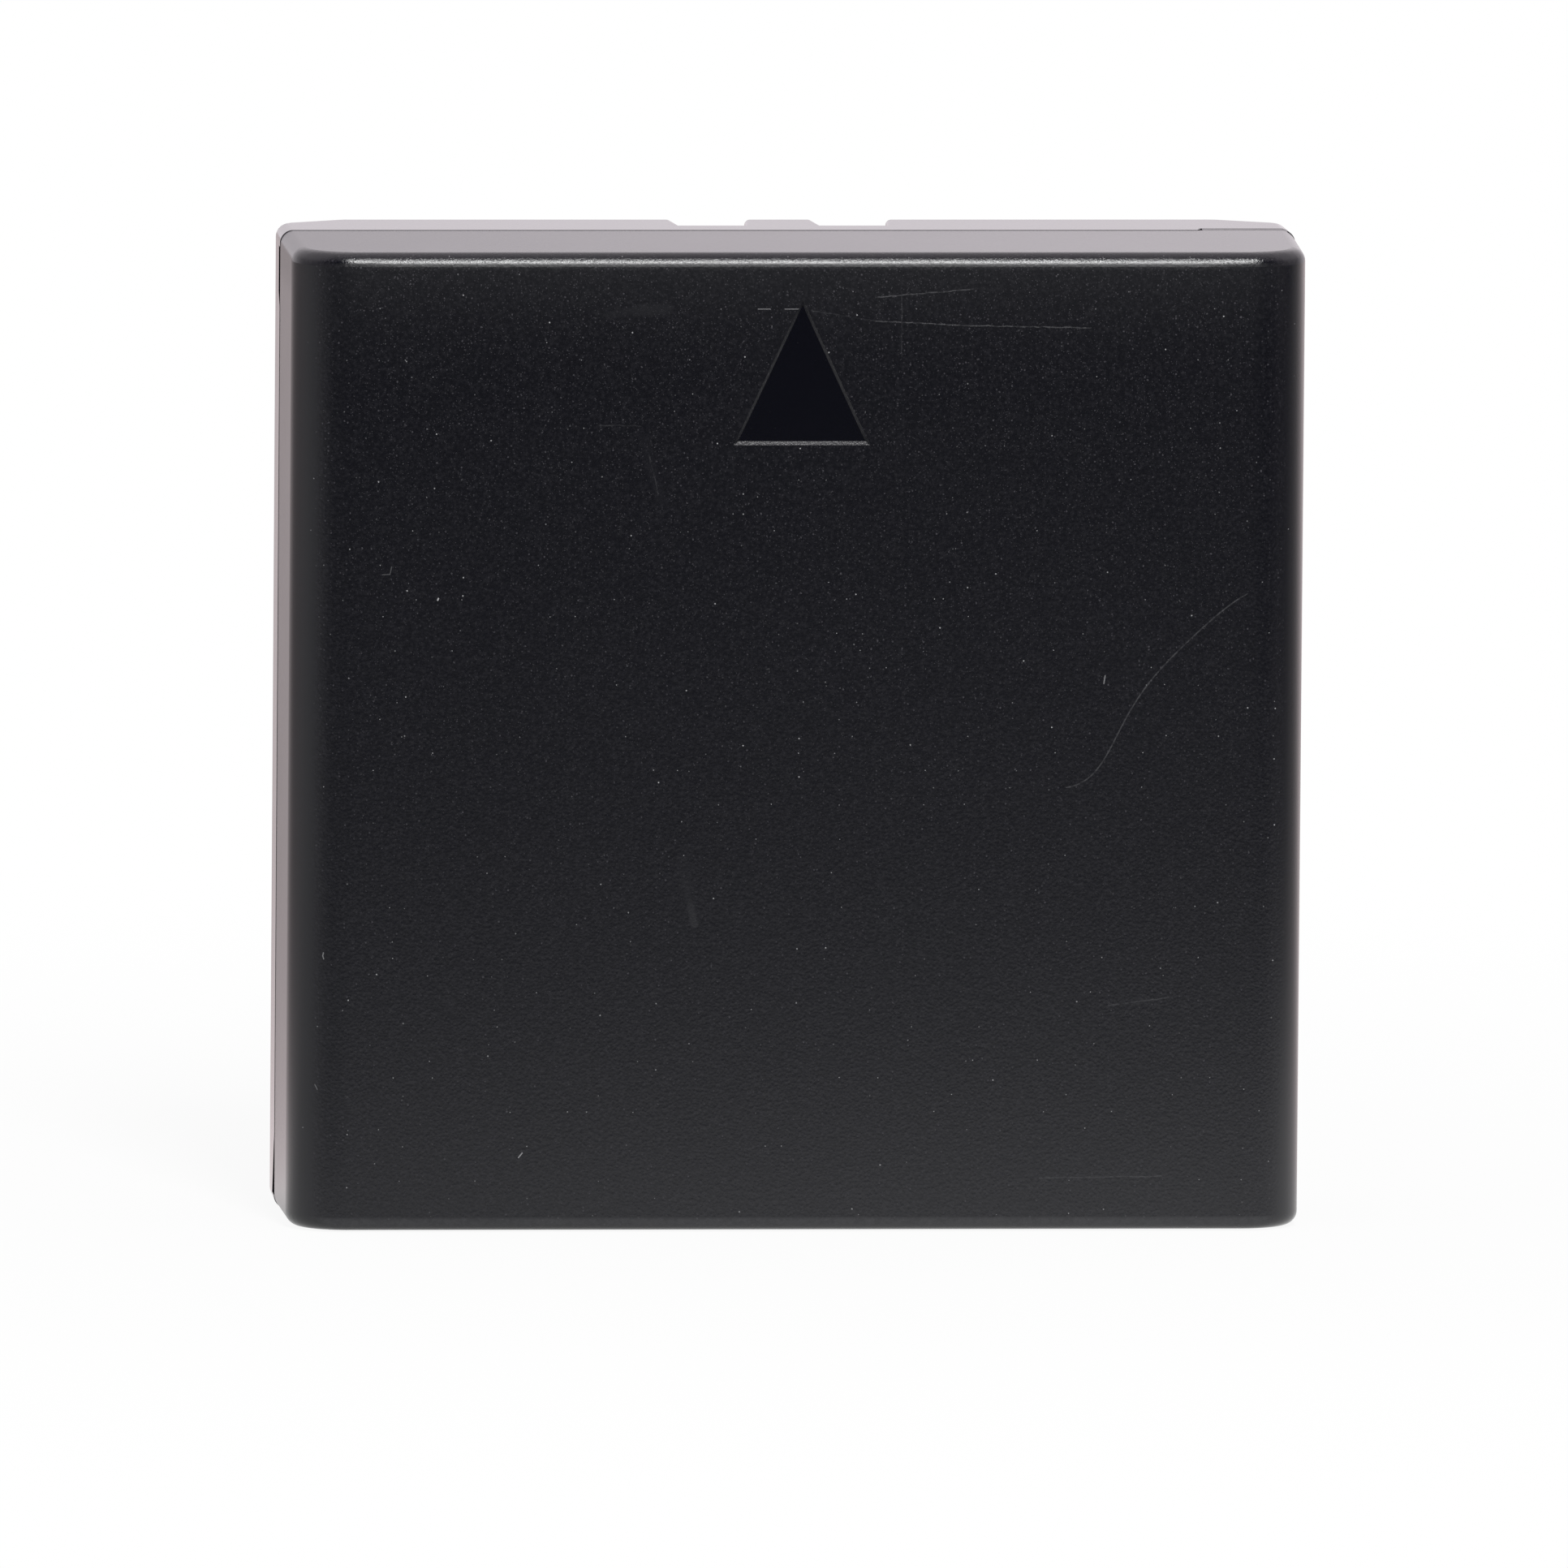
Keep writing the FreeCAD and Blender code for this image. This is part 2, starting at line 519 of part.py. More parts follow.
def block(name, left, right, near_side, far_side, low, high):
    """Plain rectangular piece between six planes."""
    box = doc.addObject("Part::Box", name)
    box.Label = name
    box.setExpression("Length", ex("( " + right + " ) - ( " + left + " )"))
    box.setExpression("Width", ex("( " + far_side + " ) - ( " + near_side + " )"))
    box.setExpression("Height", ex("( " + high + " ) - ( " + low + " )"))
    box.setExpression("Placement.Base.x", ex(left))
    box.setExpression("Placement.Base.y", ex(near_side))
    box.setExpression("Placement.Base.z", ex(low))
    return box


# Tape between the cells and foam against the front and back walls
for order, name in enumerate(("front_cell_tape", "rear_cell_tape")):
    start = INNER_FRONT + " + foam_thickness + %d * " % (order + 1) + CELL_PITCH + " - tape_thickness"
    reach = CELL_HALF + " - tape_margin"
    block(name, "0 - ( " + reach + " )", reach, start, start + " + tape_thickness",
          "wall + tape_margin", POUCH_TOP + " - tape_margin")
pad_reach = CELL_HALF + " - foam_margin"
for name, start in (("front_foam_pad", INNER_FRONT), ("rear_foam_pad", INNER_BACK + " - foam_thickness")):
    block(name, "0 - ( " + pad_reach + " )", pad_reach, start, start + " + foam_thickness",
          "wall + foam_margin", POUCH_TOP + " - foam_margin")

# Fibre sheet that lies on the seals, with a slit for each tab
sheet_body = new_body("cell_insulator")
fibre = new_sketch(sheet_body, "FibreSheet", "XY_Plane", TERRACE_TOP)
rectangle(fibre, "0 - " + CELL_HALF, CELL_HALF,
          INNER_FRONT + " + foam_thickness", INNER_BACK + " - foam_thickness")
pad(sheet_body, fibre, "insulator_thickness")
slits = new_sketch(sheet_body, "TabSlits", "XY_Plane", TERRACE_TOP)
first_tab = "( " + INNER_FRONT + " + foam_thickness + " + CELL_THICK + " / 2 )"
for side in ("0 - ", ""):
    middle = side + "tab_spacing / 2"
    slit_half = "tab_width / 2 - tab_clearance", "tab_width / 2 + tab_clearance"
    rectangle(slits, middle + " - " + slit_half[0], middle + " + " + slit_half[1],
              first_tab + " - tab_thickness / 2 - tab_clearance",
              first_tab + " + tab_thickness / 2 + tab_clearance")
slit_pair = pocket(sheet_body, slits, "insulator_thickness", True)
slit_row = sheet_body.newObject("PartDesign::LinearPattern", "TabSlitRow")
slit_row.Originals = [slit_pair]
slit_row.Direction = (origin_plane(sheet_body, "XZ_Plane"), [""])
slit_row.Reversed = True
slit_row.setExpression("Length", ex("2 * " + CELL_PITCH))
slit_row.Occurrences = 3
sheet_body.Tip = slit_row
doc.recompute()

# Protection board: rounded front corners that follow the shell, cut corners at the back
board = new_body("protection_board")
BOARD_HALF = "( " + INNER_HALF + " - board_clearance )"
board_outline = new_sketch(board, "BoardOutline", "XY_Plane", BOARD_BOTTOM)
polygon(board_outline, [
    ("0 - " + BOARD_HALF, BOARD_FRONT),
    (BOARD_HALF, BOARD_FRONT),
    (BOARD_HALF, BOARD_REAR + " - board_corner"),
    (BOARD_HALF + " - board_corner", BOARD_REAR),
    ("board_corner - " + BOARD_HALF, BOARD_REAR),
    ("0 - " + BOARD_HALF, BOARD_REAR + " - board_corner"),
])
board_plate = pad(board, board_outline, "board_thickness")
board_y = number(BOARD_FRONT)
corner_edges = edges_where(board_plate, lambda box: box.ZLength > 0.1 and near(box.YMax, board_y))
round_edges(board, board_plate, corner_edges, "front_edge_radius - wall")


def leaded_chip(name, middle_x, middle_y, width, length, height, leads):
    """Moulded chip with a row of flat leads at its front and at its back."""
    left = middle_x + " - " + width + " / 2"
    right = middle_x + " + " + width + " / 2"
    pieces = [block(name + "_case", left, right, middle_y + " - " + length + " / 2",
                    middle_y + " + " + length + " / 2", BOARD_TOP, BOARD_TOP + " + " + height)]
    for lead in range(leads):
        spot = middle_x + " + ( %d - %s / 2 ) * lead_pitch" % (lead, leads - 1)
        reach = length + " / 2 + lead_reach"
        pieces.append(block(name + "_lead%d" % lead, spot + " - lead_width / 2", spot + " + lead_width / 2",
                            middle_y + " - ( " + reach + " )", middle_y + " + " + reach,
                            BOARD_TOP, BOARD_TOP + " + lead_thickness"))
    chip = doc.addObject("Part::MultiFuse", name)
    chip.Label = name
    chip.Shapes = pieces
    return chip


def group(name, members):
    """Separate solids of one kind under one name."""
    bundle = doc.addObject("Part::Compound", name)
    bundle.Label = name
    bundle.Links = members
    return bundle


# Components on the board: the front row lies before the slot block, the rear row beside it
CHIP_X = "( chip_inset - " + BOARD_HALF + " )"
THERMISTOR_X = "( thermistor_inset - " + BOARD_HALF + " )"
SHUNT_X = "( " + BOARD_HALF + " - shunt_inset )"
FUSE_X = "( " + BOARD_HALF + " - fuse_inset )"
switches = [leaded_chip("switch%d" % order, side + "switch_spacing / 2", FRONT_ROW,
                        "switch_width", "switch_length", "switch_height", 4)
            for order, side in enumerate(("0 - ", ""))]
group("switching_transistors", switches)
leaded_chip("protection_chip", CHIP_X, REAR_ROW, "chip_width", "chip_length", "chip_height", 5)
block("sense_resistor", SHUNT_X + " - shunt_width / 2", SHUNT_X + " + shunt_width / 2",
      FRONT_ROW + " - shunt_length / 2", FRONT_ROW + " + shunt_length / 2",
      BOARD_TOP, BOARD_TOP + " + shunt_height")
block("thermistor", THERMISTOR_X + " - thermistor_width / 2", THERMISTOR_X + " + thermistor_width / 2",
      FRONT_ROW + " - thermistor_length / 2", FRONT_ROW + " + thermistor_length / 2",
      BOARD_TOP, BOARD_TOP + " + thermistor_height")
block("fuse", FUSE_X + " - fuse_width / 2", FUSE_X + " + fuse_width / 2",
      REAR_ROW + " - fuse_length / 2", REAR_ROW + " + fuse_length / 2", BOARD_TOP, BOARD_TOP + " + fuse_height")
capacitors = []
for order in range(3):
    spot = CHIP_X + " + ( %d - 1 ) * capacitor_pitch" % order
    capacitors.append(block("capacitor%d" % order,
                            spot + " - capacitor_width / 2", spot + " + capacitor_width / 2",
                            FRONT_ROW + " - capacitor_length / 2", FRONT_ROW + " + capacitor_length / 2",
                            BOARD_TOP, BOARD_TOP + " + capacitor_height"))
group("filter_capacitors", capacitors)

doc.recompute()

NODES = [
    "front_shell", "back_shell", "positive_contact", "negative_contact",
    "front_cell", "middle_cell", "rear_cell", "front_cell_tape", "rear_cell_tape",
    "front_foam_pad", "rear_foam_pad", "cell_insulator", "protection_board",
    "switching_transistors", "protection_chip", "sense_resistor", "thermistor", "fuse", "filter_capacitors",
]
for item in doc.Objects:
    if "Invalid" in item.State or "Error" in item.State:
        raise RuntimeError("feature failed: " + item.Label)
os.makedirs("parts", exist_ok=True)
for name in NODES:
    shape = doc.getObjectsByLabel(name)[0].Shape
    if shape.isNull() or not shape.isValid():
        raise RuntimeError("bad solid: " + name)
    shape.exportStep("parts/" + name + ".step")
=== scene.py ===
import math
import bpy
from mathutils import Matrix, Vector


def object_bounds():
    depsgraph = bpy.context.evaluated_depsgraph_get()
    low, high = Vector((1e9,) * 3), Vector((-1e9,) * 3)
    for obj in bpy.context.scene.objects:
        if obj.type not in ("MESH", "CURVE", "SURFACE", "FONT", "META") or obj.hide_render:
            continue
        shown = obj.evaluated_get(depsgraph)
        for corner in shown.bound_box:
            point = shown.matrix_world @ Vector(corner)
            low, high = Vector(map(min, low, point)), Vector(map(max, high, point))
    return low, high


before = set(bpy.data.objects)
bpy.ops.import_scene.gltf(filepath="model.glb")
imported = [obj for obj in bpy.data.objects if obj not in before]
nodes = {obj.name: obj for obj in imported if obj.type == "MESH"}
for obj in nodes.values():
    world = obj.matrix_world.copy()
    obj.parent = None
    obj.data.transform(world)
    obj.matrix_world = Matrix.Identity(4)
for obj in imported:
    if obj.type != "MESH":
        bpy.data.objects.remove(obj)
cad_box = [list(corner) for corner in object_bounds()]


# Front shell: the deep half of the clamshell, injection moulded in black ABS
# against a spark-eroded tool. It carries the sunk arrow and, from use, a few
# scratches, smears and specks of dust on its broad face.
class Tone:
    """A socket of a finish's node tree. Arithmetic on it adds Math nodes."""

    def __init__(self, tree, socket=None):
        self.tree = tree
        self.socket = socket

    def node(self, kind, settings=None, sockets=None, out=0):
        """Adds a node: its settings are made first, then its sockets are set or linked."""
        made = self.tree.nodes.new(kind)
        for name, value in (settings or {}).items():
            setattr(made, name, value)
        for key, value in (sockets or {}).items():
            if isinstance(value, Tone):
                self.tree.links.new(value.socket, made.inputs[key])
            else:
                made.inputs[key].default_value = value
        return Tone(self.tree, made.outputs[out] if made.outputs else None)

    def math(self, operation, first, second=0.0):
        return self.node("ShaderNodeMath", {"operation": operation}, {0: first, 1: second})

    def __add__(self, other):
        return self.math("ADD", self, other)

    def __radd__(self, other):
        return self.math("ADD", other, self)

    def __sub__(self, other):
        return self.math("SUBTRACT", self, other)

    def __rsub__(self, other):
        return self.math("SUBTRACT", other, self)

    def __mul__(self, other):
        return self.math("MULTIPLY", self, other)

    def __rmul__(self, other):
        return self.math("MULTIPLY", other, self)

    def __truediv__(self, other):
        return self.math("DIVIDE", self, other)

    def __gt__(self, other):
        return self.math("GREATER_THAN", self, other)

    def __lt__(self, other):
        return self.math("LESS_THAN", self, other)

    def __abs__(self):
        return self.math("ABSOLUTE", self)

    def or_more(self, other):
        return self.math("MAXIMUM", self, other)

    def or_less(self, other):
        return self.math("MINIMUM", self, other)

    def fade(self, start, end, low=0.0, high=1.0):
        """Runs smoothly from low at start to high at end."""
        return self.node("ShaderNodeMapRange", {"interpolation_type": "SMOOTHSTEP"},
                         {0: self, 1: start, 2: end, 3: low, 4: high})

    def noise(self, scale, detail=2.0, roughness=0.5):
        return self.node("ShaderNodeTexNoise", {},
                         {"Vector": self, "Scale": scale, "Detail": detail, "Roughness": roughness})

    def cells(self, scale, out, dimensions="3D"):
        return self.node("ShaderNodeTexVoronoi", {"voronoi_dimensions": dimensions},
                         {"Vector": self, "Scale": scale}, out)

    def tint(self, bare, laid):
        """The bare colour where this value is 0, the laid colour where it is 1."""
        return self.node("ShaderNodeMix", {"data_type": "RGBA"}, {0: self, 6: bare, 7: laid}, 2)

    def axis(self, name):
        return self.node("ShaderNodeSeparateXYZ", {}, {0: self}, name)


def new_finish(name):
    """An empty procedural finish, and the point on the part in millimetres."""
    finish = bpy.data.materials.new(name)
    finish.use_nodes = True
    finish.node_tree.nodes.clear()
    blank = Tone(finish.node_tree)
    place = blank.node("ShaderNodeTexCoord", out="Object")
    point = blank.node("ShaderNodeVectorMath", {"operation": "SCALE"}, {0: place, "Scale": 1000.0})
    return finish, point


def close_finish(point, sockets, height, depth):
    """Ends a finish in one Principled shader. depth is the relief of height in millimetres."""
    sockets["Normal"] = point.node(
        "ShaderNodeBump", {}, {"Strength": 1.0, "Distance": depth / 1000.0, "Height": height})
    shader = point.node("ShaderNodeBsdfPrincipled", {}, sockets)
    point.node("ShaderNodeOutputMaterial", {}, {"Surface": shader})


def lay(node, finish):
    """Puts a finish on every material slot of a CAD node."""
    mesh = nodes[node].data
    if not mesh.materials:
        mesh.materials.append(finish)
    for index in range(len(mesh.materials)):
        mesh.materials[index] = finish


# Grain of the moulding tool and the painted glints on it, in cells to the millimetre, and their colours.
GRAIN_SCALE = 4.4
PIT_SCALE = 5.0
SPARK_SCALE = 8.0
PATCH_SCALE = 0.11
GRAIN_DEPTH = 0.013
PLASTIC_IOR = 1.57
PLASTIC_BLACK = (0.0003, 0.0005, 0.0036, 1.0)
# The grey of the grain and of the painted glints.
GRAIN_AND_GLINT_GREY = (0.05, 0.048, 0.056, 1.0)
# The pale grey of dust, scratches and lint, and of the painted highlights and reflections laid with them.
DUST_AND_SHEEN_GREY = (0.32, 0.32, 0.33, 1.0)


def broad_face(point, face_y):
    """1 on a shell's broad face, 0 on its walls."""
    return point.axis("Y").fade(face_y * 0.9, face_y * 0.96)


def fine_grain(point):
    return point.noise(GRAIN_SCALE, 3.0, 0.65)


def cloudy_patches(point):
    return point.noise(PATCH_SCALE, 3.0, 0.55)


def moulded_skin(point, face_y, face_rough, wall_rough):
    """Roughness, relief and pale speckle of eroded plastic, with painted highlights (glints) in the speckle:
    full on the broad face, finer on the walls.
    """
    z = point.axis("Z")
    face = broad_face(point, face_y)
    fine = fine_grain(point)
    pits = point.cells(PIT_SCALE, "Distance")
    pit_luck = point.cells(PIT_SCALE, "Color").axis("X") + z * 0.0018
    # glint and sparkle are painted highlights: pale dots in the base colour, more of them towards the top,
    # where the lamp's reflection falls.
    glint = (pits + (fine - 0.5) * 0.9).fade(0.36, 0.08) * pit_luck.fade(0.86, 1.12)
    sparks = point.cells(SPARK_SCALE, "Distance")
    spark_luck = point.cells(SPARK_SCALE, "Color").axis("Y") + z * 0.003
    sparkle = sparks.fade(0.34, 0.06) * spark_luck.fade(0.94, 1.16)
    rough = wall_rough + face * (face_rough - wall_rough) + cloudy_patches(point) * 0.02 + (fine - 0.5) * 0.04
    relief = (fine * 0.7 + pits * 0.5) * (0.25 + face * 0.75)
    speckle_and_glints = (fine.fade(0.42, 0.78) * 0.16 + glint + sparkle) * (0.2 + face * 0.8)
    return rough, relief, speckle_and_glints


SPECK_SCALE = 0.55
FLECK_SCALE = 0.9


def dusty_side(point, face_y):
    """1 on a shell's broad face and the rounding next to it."""
    return point.axis("Y").fade(face_y * 0.84, face_y * 0.88)


def settled_dust(point, face_y):
    """Specks of dust in two sizes, the larger ones more often towards the top."""
    z = point.axis("Z")
    flat = point.node("ShaderNodeCombineXYZ", {}, {"X": point.axis("X"), "Y": z})
    speck = flat.cells(SPECK_SCALE, "Distance", "2D")
    speck_luck = flat.cells(SPECK_SCALE, "Color", "2D").axis("X") + z * 0.0013
    specks = speck.fade(0.036, 0.01) * speck_luck.fade(0.9, 1.04)
    fleck = flat.cells(FLECK_SCALE, "Distance", "2D")
    fleck_luck = flat.cells(FLECK_SCALE, "Color", "2D").axis("Y")
    flecks = fleck.fade(0.042, 0.012) * fleck_luck.fade(0.84, 1.05)
    return specks.or_more(flecks) * dusty_side(point, face_y)


def close_case(point, rough, relief, speckle_and_glints, marks_and_sheen, dust):
    """Black plastic with its grey speckle and painted glints, and the pale marks, painted highlights and dust
    over it.
    """
    colour = marks_and_sheen.tint(speckle_and_glints.tint(PLASTIC_BLACK, GRAIN_AND_GLINT_GREY), DUST_AND_SHEEN_GREY)
    close_finish(point, {"Base Color": colour, "Roughness": rough + dust * 0.3, "IOR": PLASTIC_IOR},
                 relief, GRAIN_DEPTH)


# Marks of use on the front face: a line of (x, z) points, a half width in millimetres and a strength.
FRONT_Y = -10.75
SCRATCHES = [
    ([(4.71, 60.68), (11.02, 61.22)], 0.05, 0.16),
    ([(0.52, 59.83), (4.73, 59.15)], 0.05, 0.05),
    ([(4.73, 59.15), (11.04, 58.85), (18.67, 58.7)], 0.05, 0.17),
    ([(-13.07, 52.39), (-10.45, 52.35)], 0.06, 0.07),
    ([(-9.9, 50.49), (-9.25, 47.86)], 0.06, 0.07),
    ([(6.39, 61.05), (6.43, 56.84)], 0.05, 0.05),
    ([(20.17, 14.63), (22.01, 14.9), (24.11, 15.16)], 0.07, 0.07),
    ([(15.8, 3.42), (23.71, 3.53)], 0.06, 0.07),
]
SMEARS = [
    ([(-7.55, 24.2), (-7.29, 22.81), (-7.0, 21.0)], 0.6, 0.008),
    ([(-7.35, 22.8), (-7.0, 21.2)], 0.28, 0.016),
    ([(-7.0, 21.2), (-6.73, 19.95)], 0.34, 0.032),
    ([(-12.6, 59.55), (-10.6, 59.85)], 0.34, 0.014),
    ([(-10.8, 59.8), (-8.8, 59.95)], 0.5, 0.018),
    ([(-10.2, 51.5), (-9.7, 49.5), (-9.0, 47.4)], 0.45, 0.008),
]
LINT = [
    ([(-2.9, 59.93), (-2.11, 59.93)], 0.036, 0.45),
    ([(-1.16, 59.93), (-0.27, 59.93)], 0.036, 0.45),
    ([(-30.72, 18.1), (-30.76, 17.9), (-30.7, 17.7)], 0.045, 0.5),
    ([(-31.2, 9.5), (-31.05, 9.2)], 0.04, 0.3),
    ([(-18.02, 4.8), (-17.78, 5.1)], 0.05, 0.7),
    ([(-27.1, 42.7), (-26.6, 42.72), (-26.5, 43.2)], 0.04, 0.18),
    ([(19.7, 35.6), (19.78, 36.1)], 0.05, 0.5),
    ([(-23.5, 41.05), (-23.46, 41.15)], 0.07, 1.0),
]
LONG_SCRATCH_START = (28.95, 41.42)
LONG_SCRATCH_CHORD = (-0.6801, -0.7331)
LONG_SCRATCH_LENGTH = 17.16
LONG_SCRATCH_BEND = (-54.32, 108.91, -74.70, 26.12, -6.0)
LONG_SCRATCH_HALF_WIDTH = 0.06
LONG_SCRATCH_STRENGTH = 0.12


def stroke(x, z, line, half_width):
    """A mark along a line of (x, z) points, soft at its edge."""
    nearest = None
    for (x0, z0), (x1, z1) in zip(line, line[1:]):
        run = (x1 - x0) ** 2 + (z1 - z0) ** 2
        along = (x - x0) * ((x1 - x0) / run) + (z - z0) * ((z1 - z0) / run)
        along = along.or_more(0.0).or_less(1.0)
        off_x = x - x0 - along * (x1 - x0)
        off_z = z - z0 - along * (z1 - z0)
        gap = off_x * off_x + off_z * off_z
        nearest = gap if nearest is None else nearest.or_less(gap)
    return nearest.fade(half_width * half_width, 0.0)


def long_scratch(x, z):
    """The long bent scratch: its offset from a chord is a curve of the way along the chord."""
    from_x = x - LONG_SCRATCH_START[0]
    from_z = z - LONG_SCRATCH_START[1]
    chord_x, chord_z = LONG_SCRATCH_CHORD
    along = (from_x * chord_x + from_z * chord_z) / LONG_SCRATCH_LENGTH
    bend = along * LONG_SCRATCH_BEND[0]
    for factor in LONG_SCRATCH_BEND[1:]:
        bend = (bend + factor) * along
    miss = from_x * -chord_z + from_z * chord_x - bend
    return (miss * miss).fade(LONG_SCRATCH_HALF_WIDTH ** 2, 0.0) * (along > 0.0) * (along < 1.0)


def rubbed(point):
    """Breaks a rubbed mark up along its length."""
    return point.noise(2.3, 3.0, 0.7).fade(0.36, 0.6, 0.25, 1.0)


def worn_face(point, marks_and_sheen, speckle_and_glints):
    """Adds the scratches, the smears, which also dull the speckle and its painted glints, and the lint."""
    x, z = point.axis("X"), point.axis("Z")
    flat_face = point.axis("Y").fade(-10.6, -10.74)
    rubbed_face = rubbed(point) * flat_face
    wander = point.noise(1.3, 3.0, 0.65) - 0.5
    bent_x = x + wander * 0.2
    bent_z = z - wander * 0.22
    for line, half_width, strength in SCRATCHES:
        marks_and_sheen = marks_and_sheen.or_more(stroke(bent_x, bent_z, line, half_width) * rubbed_face * strength)
    marks_and_sheen = marks_and_sheen.or_more(long_scratch(x, z) * rubbed_face * LONG_SCRATCH_STRENGTH)
    uneven_face = (0.4 + cloudy_patches(point)) * flat_face
    for line, half_width, strength in SMEARS:
        film = stroke(x, z, line, half_width)
        marks_and_sheen = marks_and_sheen.or_more(film * uneven_face * strength)
        speckle_and_glints = speckle_and_glints * (1.0 - film * 0.5)
    lint_side = dusty_side(point, FRONT_Y)
    for line, half_width, strength in LINT:
        marks_and_sheen = marks_and_sheen.or_more(stroke(x, z, line, half_width) * lint_side * strength)
    return marks_and_sheen, speckle_and_glints


# The box round the sunk arrow, and the depths at which its walls and its floor lie.
ARROW_LOW_Z = 51.0
ARROW_HIGH_Z = 60.6
ARROW_HALF_WIDTH = 4.6
ARROW_WALL_Y = (-10.74, -10.57)
ARROW_FLOOR_Y = (-10.58, -10.4)
GRIT_SCALE = 9.0
GRIT_RELIEF = 1.6


def in_arrow(point, depths):
    """1 in the sunk arrow between two depths."""
    y, z = point.axis("Y"), point.axis("Z")
    return ((y > depths[0]) * (y < depths[1]) * (z > ARROW_LOW_Z) * (z < ARROW_HIGH_Z)
            * (abs(point.axis("X")) < ARROW_HALF_WIDTH))


def edge_grit(point):
    """The coarser tool marks along milled edges."""
    return point.noise(GRIT_SCALE, 2.0, 0.6)


def sunk_arrow(point, rough, relief, speckle_and_glints, marks_and_sheen):
    """A smooth clean floor in the arrow, and gritty milled walls round it, painted a little paler as a
    painted highlight.
    """
    sunk = in_arrow(point, ARROW_FLOOR_Y)
    wall = in_arrow(point, ARROW_WALL_Y)
    rough = rough - sunk * 0.08
    relief = relief * (1.0 - sunk * 0.9) + wall * edge_grit(point) * GRIT_RELIEF
    speckle_and_glints = speckle_and_glints * (1.0 - sunk)
    # The walls are painted a little paler: a painted highlight where their edges catch the light.
    marks_and_sheen = (marks_and_sheen * (1.0 - sunk)).or_more(wall * 0.012)
    return rough, relief, speckle_and_glints, marks_and_sheen


BAND_LOW_Z = 54.5
BAND_HEIGHT = 8.2
RIM_LOW_Z = 62.75
ROLL_RELIEF = 4.6


def top_edge(point, rough, relief):
    """A rougher band under the top edge, a smoother gritty rim, and an edge that rolls over early."""
    x, z = point.axis("X"), point.axis("Z")
    face = broad_face(point, FRONT_Y)
    rim = z.fade(RIM_LOW_Z, 63.05) * face
    rise = ((z - BAND_LOW_Z) / BAND_HEIGHT).or_more(0.0)
    band = rise * rise * z.fade(63.0, RIM_LOW_Z) * face * (1.0 - in_arrow(point, ARROW_FLOOR_Y))
    top_wall = (1.0 - face) * z.fade(60.0, 62.0)
    rough = rough + band * 0.12 - rim * 0.11 - (x + 8.0) * top_wall * 0.0013
    roll = z.fade(62.4, 63.2) * abs(x).fade(30.5, 25.5)
    relief = relief * (1.0 - rim * 0.6) + rim * edge_grit(point) * GRIT_RELIEF - roll * ROLL_RELIEF
    return rough, relief


def painted_foot_reflection(point, marks_and_sheen):
    """A faint pale painted reflection of the floor along the lower front edge, broken up along its length."""
    z = point.axis("Z")
    foot = z.fade(0.2, 0.5) * z.fade(0.95, 0.7) * point.axis("Y").fade(-10.1, -10.5)
    return marks_and_sheen.or_more(foot * (0.4 + rubbed(point)) * 0.035)


def front_case():
    finish, point = new_finish("front_case_plastic")
    rough, relief, speckle_and_glints = moulded_skin(point, FRONT_Y, face_rough=0.275, wall_rough=0.2)
    dust = settled_dust(point, FRONT_Y)
    marks_and_sheen, speckle_and_glints = worn_face(point, dust, speckle_and_glints)
    rough, relief, speckle_and_glints, marks_and_sheen = sunk_arrow(point, rough, relief, speckle_and_glints, marks_and_sheen)
    rough, relief = top_edge(point, rough, relief)
    # A painted reflection of the floor along the lower front edge.
    marks_and_sheen = painted_foot_reflection(point, marks_and_sheen)
    close_case(point, rough, relief, speckle_and_glints, marks_and_sheen, dust)
    return finish


lay("front_shell", front_case())


# Back shell: the shallow half, the same black ABS from the same kind of tool,
# welded to the front half along the lip. Its upper end holds the two contact
# slots, and the rim is relieved for the thumb at the top right.
BACK_Y = 10.75


def back_case():
    finish, point = new_finish("back_case_plastic")
    rough, relief, speckle_and_glints = moulded_skin(point, BACK_Y, face_rough=0.28, wall_rough=0.1)
    dust = settled_dust(point, BACK_Y)
    thumb_strip = (point.axis("Y") < 3.2) * (point.axis("X") > 26.8) * (point.axis("Z") > 63.5)
    rough = rough + thumb_strip * (0.06 + fine_grain(point) * 0.22)
    close_case(point, rough, relief, speckle_and_glints, dust, dust)
    return finish


lay("back_shell", back_case())


# Contacts: two strips of springy bronze, stamped, bent to a foot and nickel
# plated, held in the slot block and soldered to the board by the foot.
NICKEL = (0.62, 0.58, 0.5, 1.0)
TARNISHED_NICKEL = (0.42, 0.36, 0.27, 1.0)


def plated_strip():
    finish, point = new_finish("plated_bronze")
    lengthwise = point.node("ShaderNodeMapping", {}, {"Vector": point, "Scale": (9.0, 9.0, 0.5)})
    rub = lengthwise.noise(1.0, 3.0, 0.6)
    tarnish = point.noise(0.6, 3.0, 0.55).fade(0.45, 0.75)
    colour = tarnish.tint(NICKEL, TARNISHED_NICKEL)
    rough = 0.24 + rub * 0.16 + tarnish * 0.12
    close_finish(point, {"Base Color": colour, "Roughness": rough, "Metallic": 1.0}, rub, depth=0.002)
    return finish


plated = plated_strip()
for contact in ("positive_contact", "negative_contact"):
    lay(contact, plated)


# Cells: three lithium-polymer pouches, aluminium laminate with a polymer skin,
# slightly dimpled where the foil is drawn over the stack inside.
FOIL_DARK = (0.42, 0.42, 0.43, 1.0)
FOIL_LIGHT = (0.55, 0.55, 0.56, 1.0)


